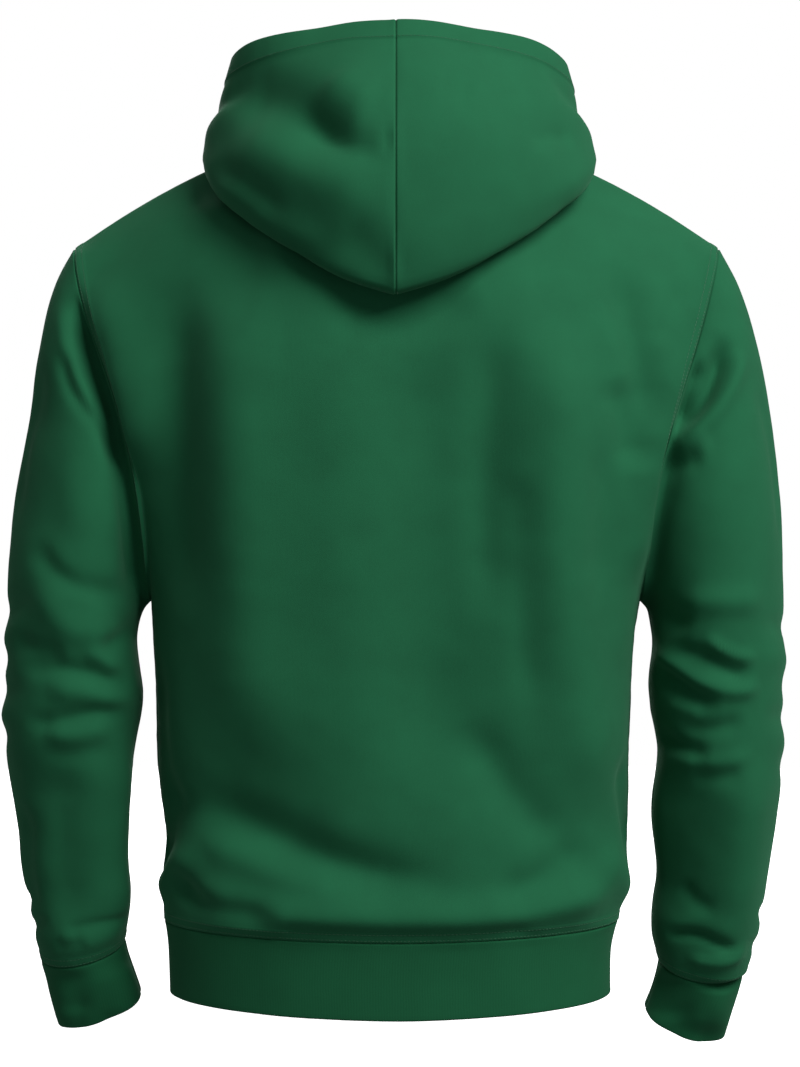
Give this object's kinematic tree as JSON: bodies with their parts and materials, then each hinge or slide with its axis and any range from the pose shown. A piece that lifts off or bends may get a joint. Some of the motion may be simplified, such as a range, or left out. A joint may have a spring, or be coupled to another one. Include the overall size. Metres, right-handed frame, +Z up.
{
  "type": "zip-up hoodie",
  "caption": "Long-sleeved zip-up hoodie in green fleece, filled out as if worn, with its hood down and rib cuffs and hem band.",
  "frame": {"origin": "middle of the neck, level with the points where the neck meets the shoulders", "axes": "+Z up, +Y out of the back, +X towards the wearer's left"},
  "size_m": [0.6223, 0.2867, 0.8026],
  "materials": {
    "fleece": "brushed matte knit",
    "rib": "fine matte rib knit",
    "zip_tape": "woven tape",
    "zip_metal": "satin"
  },
  "bodies": {
    "garment": {"back_panel": "fleece", "front_left": "fleece", "front_right": "fleece", "hem_band": "rib", "sleeve_left": "fleece", "sleeve_right": "fleece", "cuff_left": "rib", "cuff_right": "rib", "hood_left": "fleece", "hood_right": "fleece", "zip_tape_left": "zip_tape", "zip_tape_right": "zip_tape", "zip_slider": "zip_metal"},
    "pull_tab": {"zip_pull_tab": "zip_metal"}
  },
  "joints": [
    {"name": "tab_swing", "type": "hinge", "parent": "garment", "child": "pull_tab", "pos_m": [0, -0.10269, -0.0849], "axis": [-1, 0, 0], "range_deg": [0, 165]}
  ]
}
